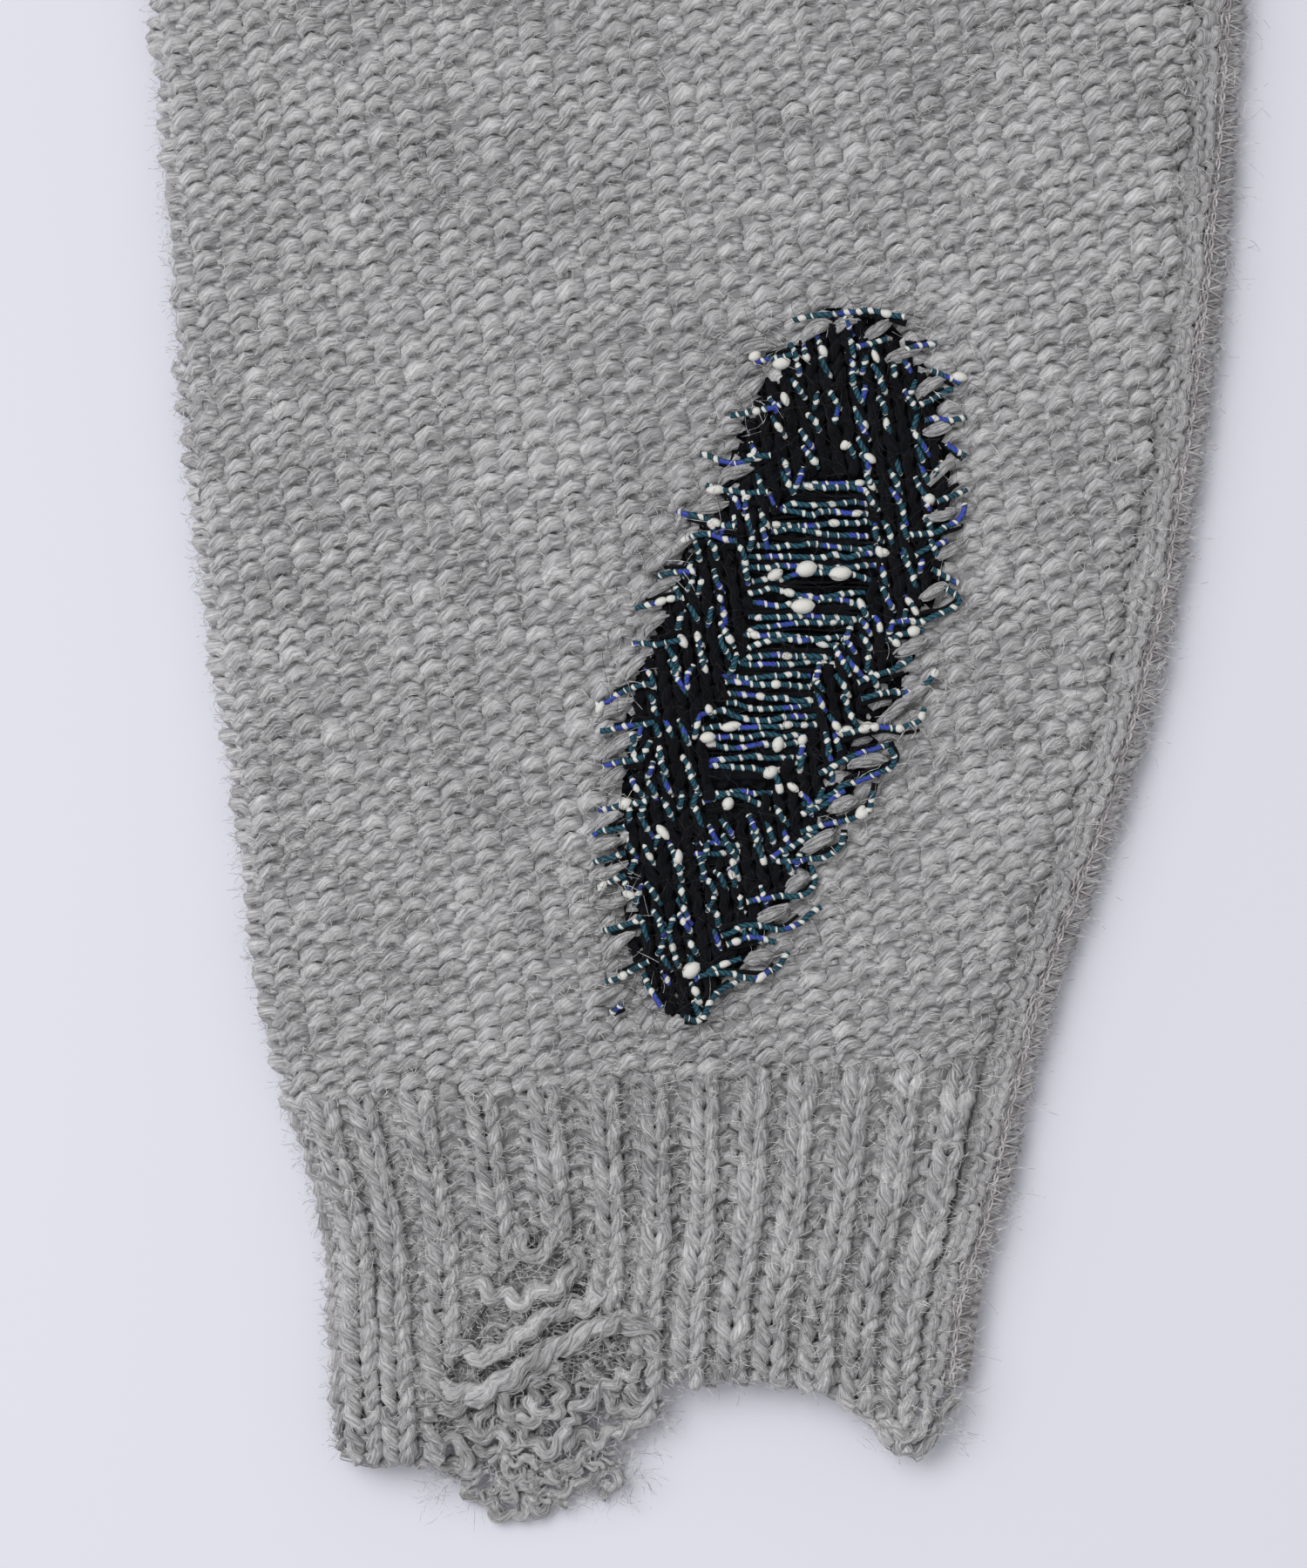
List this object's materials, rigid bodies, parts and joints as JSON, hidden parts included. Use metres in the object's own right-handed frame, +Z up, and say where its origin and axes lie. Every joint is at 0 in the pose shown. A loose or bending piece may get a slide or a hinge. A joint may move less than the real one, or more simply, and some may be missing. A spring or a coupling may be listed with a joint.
{
  "type": "darned wool sweater",
  "caption": "Thick grey crew-neck wool sweater laid flat and inside out, with a dark darn on one sleeve and a frayed, laddered cuff.",
  "frame": {"origin": "on the underside, where it rests, at the middle of the laid sweater's outline", "axes": "+X across the sweater towards the wearer's left sleeve, +Y from the hem to the neck, +Z up out of the front"},
  "size_m": [1.3512, 0.6873, 0.0135],
  "materials": {
    "wool": "heathered grey wool, thick and fuzzy, matt",
    "overlock_thread": "pinkish tan sewing thread over grey wool, matt",
    "darning_yarn": "black wool worked with a slubbed yarn of teal, white and cobalt blue, matt"
  },
  "bodies": {
    "root": {"back": "wool", "front": "wool", "hem_back": "wool", "hem_front": "wool", "neckband": "wool", "sleeve_right": "wool", "sleeve_left": "wool", "cuff_right": "wool", "cuff_left": "wool", "sleeve_seam_right": "overlock_thread", "sleeve_seam_left": "overlock_thread", "side_seam_right": "overlock_thread", "side_seam_left": "overlock_thread", "shoulder_seam_right": "overlock_thread", "shoulder_seam_left": "overlock_thread", "armhole_seam_right": "overlock_thread", "armhole_seam_left": "overlock_thread", "darn_patch": "darning_yarn", "loose_strand_1": "wool", "loose_strand_2": "wool", "loose_strand_3": "wool", "cuff_fray": "wool"}
  },
  "joints": []
}
